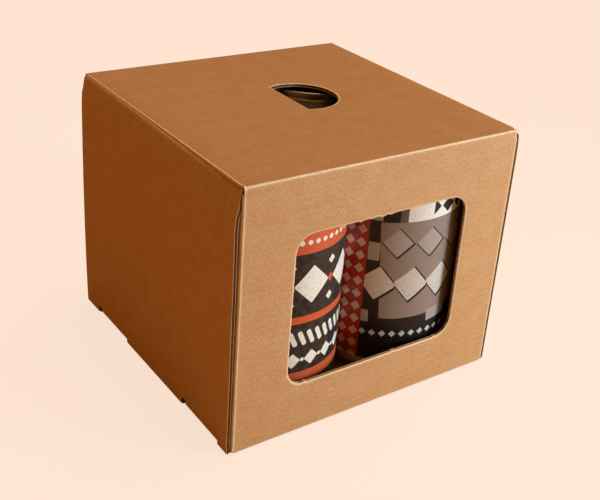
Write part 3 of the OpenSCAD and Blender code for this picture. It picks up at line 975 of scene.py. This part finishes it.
# %% [markdown]
# ## Printed labels
# The print is laid out flat in millimetres: across from the side that faces front, and up from the
# can's foot. Every motif is a rounded bar, tilted or repeated as the row says, so one short table
# makes a label. The ink lies over metal, so it has a soft gloss, and the pale ink is worn in specks.
# %% Label material
INK = {"orange": rgb(216, 96, 56), "black": rgb(30, 24, 22), "cream": rgb(246, 242, 234),
       "taupe": rgb(104, 86, 78), "dark": rgb(30, 24, 24), "grey": rgb(174, 162, 156),
       "red": rgb(172, 40, 22), "pale": rgb(214, 208, 202), "tan": rgb(150, 134, 126),
       # dusk is a cream darkened as painted shade, for the lattice in the red strip.
       "white": rgb(246, 243, 238), "cream_painted_shade": rgb(214, 178, 150)}


def bar_mask(tree, place, across, up, half_w, half_h, radius, tilt=0, every=0, rise=1000, within=0):
    """1 inside a rounded bar centred at (across, up): tilted in degrees, repeated every so far across
    and at each rise up, or kept within a distance to either side of its centre."""
    whole = put(tree, "VectorMath", {0: place, 1: (across, up, 0)}, operation="SUBTRACT").outputs[0]
    moved = whole
    if every:
        limit = {0: whole, 1: (every / 2, rise / 2, 1), 2: (-every / 2, -rise / 2, -1)}
        moved = put(tree, "VectorMath", limit, operation="WRAP").outputs[0]
    if tilt:
        turn = {"Vector": moved, "Angle": math.radians(-tilt)}
        moved = put(tree, "VectorRotate", turn, rotation_type="Z_AXIS").outputs[0]
    size = put(tree, "VectorMath", {0: moved}, operation="ABSOLUTE").outputs[0]
    core = (half_w - radius, half_h - radius, 1)
    beyond = put(tree, "VectorMath", {0: size, 1: core}, operation="SUBTRACT").outputs[0]
    beyond = put(tree, "VectorMath", {0: beyond, 1: (0, 0, 0)}, operation="MAXIMUM").outputs[0]
    reach = put(tree, "VectorMath", {0: beyond}, operation="LENGTH").outputs["Value"]
    mask = ramp(tree, reach, radius + 0.06, radius - 0.06)
    if within:
        side = calc(tree, "ABSOLUTE", put(tree, "SeparateXYZ", {0: whole}).outputs[0])
        mask = calc(tree, "MULTIPLY", mask, calc(tree, "LESS_THAN", side, within))
    return mask


def label_material(name, ground, rows):
    material, tree, shader, flat = start_material(name, "print")
    place = in_mm(tree, flat)
    streaks = stretched(tree, place, (1.3, 0.45, 1))
    specks = ramp(tree, noise(tree, streaks, 1.6, 5.0, 0.7), 0.34, 0.42)
    cloud = noise(tree, place, 0.3, 3.0)
    colour = mixed(tree, ramp(tree, cloud, 0.3, 0.7, 0.0, 0.12), INK[ground], INK["tan"])
    for ink, *shape, style in rows:
        mask = bar_mask(tree, place, *shape[:5], **style)
        if ink in ("cream", "pale", "white"):
            mask = calc(tree, "MULTIPLY", mask, specks)
        colour = mixed(tree, mask, colour, INK[ink])
    fine = noise(tree, place, 2.4, 3.0, 0.6)
    shader.inputs["Metallic"].default_value = 0.12
    shader.inputs["Specular IOR Level"].default_value = 0.45
    dress(tree, shader, colour, ramp(tree, fine, 0.3, 0.7, 0.34, 0.46), fine, 0.12, 0.00005)
    return material


def brushed_metal(name, colour):
    material, tree, shader, flat = start_material(name, "print")
    grain = noise(tree, stretched(tree, flat, (300, 2600, 1)), 1.0, 4.0, 0.6)
    tint = mixed(tree, ramp(tree, grain, 0.3, 0.7), colour, tuple(0.82 * c for c in colour[:3]) + (1,))
    shader.inputs["Metallic"].default_value = 1.0
    dress(tree, shader, tint, ramp(tree, grain, 0.3, 0.7, 0.24, 0.40), grain, 0.15, 0.00004)
    return material


METAL = brushed_metal("bare_aluminium", (0.50, 0.48, 0.46, 1))

# %% [markdown]
# The first label has an orange head over a near-black field with large pale diamonds, then an orange
# stripe and rows of grains and dots. The second is grey and brown: a wide paler panel with a harlequin
# of outlined diamonds, a white block above it and a red strip with a lattice, whose cream is darkened
# as painted shade. Both are made up.
# %% Two labels
amber_rows = [
    ("orange", 0, 99, 200, 18, 0.1, {}),
    ("cream", 2, 93, 2.3, 2.3, 0.3, {"every": 7.4, "tilt": 45}),
    ("cream", 5.7, 86, 1.1, 1.1, 1.1, {"every": 3.7}),
    ("cream", 1, 66.5, 6.2, 6.2, 0.5, {"every": 20.5, "tilt": 45}),
    ("orange", 11.25, 66.5, 1.5, 1.5, 0.3, {"every": 20.5, "tilt": 45}),
    ("cream", 11.25, 75.0, 1.5, 1.5, 0.3, {"every": 20.5, "tilt": 45}),
    ("cream", 11.25, 58.0, 1.5, 1.5, 0.3, {"every": 20.5, "tilt": 45}),
    ("orange", 0, 50.5, 200, 1.7, 0.2, {}),
    ("cream", 2, 41.5, 1.1, 3.7, 1.0, {"every": 4.3, "tilt": 24}),
    ("cream", 3, 31.0, 2.6, 2.6, 0.4, {"every": 9.2, "tilt": 45}),
    ("cream", 7.6, 31.0, 0.9, 0.9, 0.9, {"every": 9.2}),
    ("orange", 0, 22.5, 200, 2.6, 0.1, {}),
]
amber = label_material("label_amber", "black", amber_rows)
slate_rows = [
    ("dark", -26, 50, 7.5, 60, 0.2, {}),
    ("grey", -28.5, 88, 2.6, 7.0, 0.3, {}),
    ("grey", -28.5, 66, 2.6, 4.4, 0.3, {}),
    ("white", 1.5, 96, 16.5, 16.5, 0.3, {}),
    ("dark", 5.0, 87.5, 2.6, 2.6, 0.3, {"every": 8.0, "tilt": 45, "within": 8}),
    ("dark", 18.6, 99, 3.0, 18, 0.3, {}),
    ("dark", -2.6, 57.6, 22.4, 24.4, 0.4, {"tilt": 4}),
    ("tan", -3, 58, 22, 24, 0.4, {"tilt": 4}),
    ("dark", -2.5, 70.7, 5.4, 5.4, 0.3, {"every": 15.4, "tilt": 45, "within": 23}),
    ("grey", -2.8, 71, 4.9, 4.9, 0.3, {"every": 15.4, "tilt": 45, "within": 23}),
    ("dark", -9.9, 50.2, 6.6, 6.6, 0.4, {"every": 15.4, "tilt": 40, "within": 23}),
    ("pale", -10.3, 50.6, 6.0, 6.0, 0.4, {"every": 15.4, "tilt": 40, "within": 23}),
    ("taupe", -62, 50, 30, 60, 0.1, {}),
    ("taupe", 62, 50, 34, 60, 0.1, {}),
    ("dark", 0, 20, 200, 13.0, 0.2, {}),
    ("grey", 6, 33.0, 6.0, 3.0, 0.3, {"every": 40, "tilt": 4}),
    ("pale", 2, 25, 1.2, 1.2, 0.2, {"every": 4.6, "tilt": 45}),
    ("red", -40, 52, 8.6, 60, 0.3, {}),
    # The lattice's cream is darkened as painted shade.
    ("cream_painted_shade", -40, 50, 1.7, 1.7, 0.2, {"every": 5.6, "rise": 6.4, "tilt": 45, "within": 7.6}),
]
slate = label_material("label_slate", "taupe", slate_rows)

# %% [markdown]
# ## Turning a can
# The outline is spun in 128 steps. The pull tab is a curled ring of metal round a thin web with a
# finger hole, held by a rivet in the middle of the end. A can stands any way round in its box, so one
# angle turns its pull tab and another its label.
# %% Turn the cans


def tube(points, radius, sides=10):
    """A round bead of metal along a closed flat loop of points."""
    points = np.array(points, float)
    ways = np.roll(points, -1, axis=0) - np.roll(points, 1, axis=0)
    ways /= np.linalg.norm(ways, axis=1)[:, None]
    out = np.stack([ways[:, 1], -ways[:, 0], np.zeros(len(points))], axis=1)
    spots, faces = [], []
    for p, o in zip(points, out):
        for a in np.linspace(0, 2 * math.pi, sides, endpoint=False):
            spots.append(p + radius * (math.cos(a) * o + math.sin(a) * np.array((0, 0, 1))))
    count = len(points)
    for i in range(count):
        for k in range(sides):
            a, b = i * sides + k, i * sides + (k + 1) % sides
            c, d = ((i + 1) % count) * sides + (k + 1) % sides, ((i + 1) % count) * sides + k
            faces.append((a, b, c, d))
    return spots, faces


def stadium(half_w, half_l, steps=16):
    """A long hole's outline: two half circles and the straight sides between them."""
    reach = half_l - half_w
    return arc(0, reach, half_w, 0, 180, steps)[:-1] + arc(0, -reach, half_w, 180, 360, steps)[:-1]


def plate(loop, hole, low, high):
    """A thin plate, which may have a hole."""
    loops = [np.array(loop)] + ([np.array(hole)] if hole is not None else [])
    flat, triangles = cut_flat(loops, [], margins=())
    spots, faces, *_ = solid_from(flat, triangles, np.full(len(flat), low), np.full(len(flat), high),
                                  lambda f, h: np.column_stack([f, h]))
    return spots.tolist(), faces


def pull_tab():
    """Vertices and faces of a pull tab, its finger end towards +Y, in the can's own place."""
    base, tab_z = END_Z - 0.35, END_Z + 1.1
    return [tube([(x, y, tab_z) for x, y in stadium(6.9, 11.4)], 0.62),
            tube([(x, y, tab_z) for x, y in arc(0, 4.5, 4.7, 0, 360, 32)[:-1]], 0.5),
            plate(stadium(6.7, 11.2), arc(0, 4.5, 4.6, 0, 360, 32)[:-1], tab_z - 0.2, tab_z + 0.2),
            plate(arc(0, -2.9, 2.4, 0, 360, 32)[:-1], None, base - 0.1, tab_z + 0.55),
            tube([(x, y - 9.5, base) for x, y in stadium(7.6, 10.0)], 0.28),
            tube([(x, y, base) for x, y in arc(0, 0, 17.2, 0, 360, 72)[:-1]], 0.25)]


def make_can(name, node, x, y, turn, material, label=0.0):
    outline, segments = can_outline(), 128
    rows = len(outline)
    spots, uvs, faces, slots = [], [], [], []
    for i in range(segments + 1):
        a = -math.pi / 2 + math.pi * (2 * i / segments - 1)
        for r, z in outline:
            spots.append((r * math.cos(a + label), r * math.sin(a + label), z))
            uvs.append((CAN_R * (a + math.pi / 2), z))
    for i in range(segments):
        for j in range(rows - 1):
            k = i * rows + j
            faces.append((k, k + rows, k + rows + 1, k + 1))
            z = (outline[j][1] + outline[j + 1][1]) / 2
            printed = 11.5 < z < SEAM_Z - 2.4 and outline[j][0] > SEAM_R - 2.2
            slots.append(0 if printed else 1)
    swing = math.radians(turn)
    for tab_spots, tab_faces in pull_tab():
        first = len(spots)
        for px, py, pz in tab_spots:
            spots.append((px * math.cos(swing) - py * math.sin(swing),
                          px * math.sin(swing) + py * math.cos(swing), pz))
            uvs.append((px, py))
        faces += [tuple(i + first for i in face) for face in tab_faces]
        slots += [1] * len(tab_faces)
    spots = np.array(spots) + (x, y, BOARD)
    can = new_piece(name, spots, faces, "print", np.array(uvs), (material, METAL), slots, 50)
    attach(can, "box")
    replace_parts(can, node)


CAN_X, CAN_FRONT, CAN_BACK = 33.225, FRONT + 37.5, BACK - 34.9
make_can("can_amber_front", "can_front_left", -CAN_X, CAN_FRONT, 25, amber)
make_can("can_slate_front", "can_front_right", CAN_X, CAN_FRONT, -60, slate)
make_can("can_amber_back", "can_back_left", -CAN_X, CAN_BACK, 140, amber, label=1.0)
make_can("can_slate_back", "can_back_right", CAN_X, CAN_BACK, 200, slate, label=1.75)
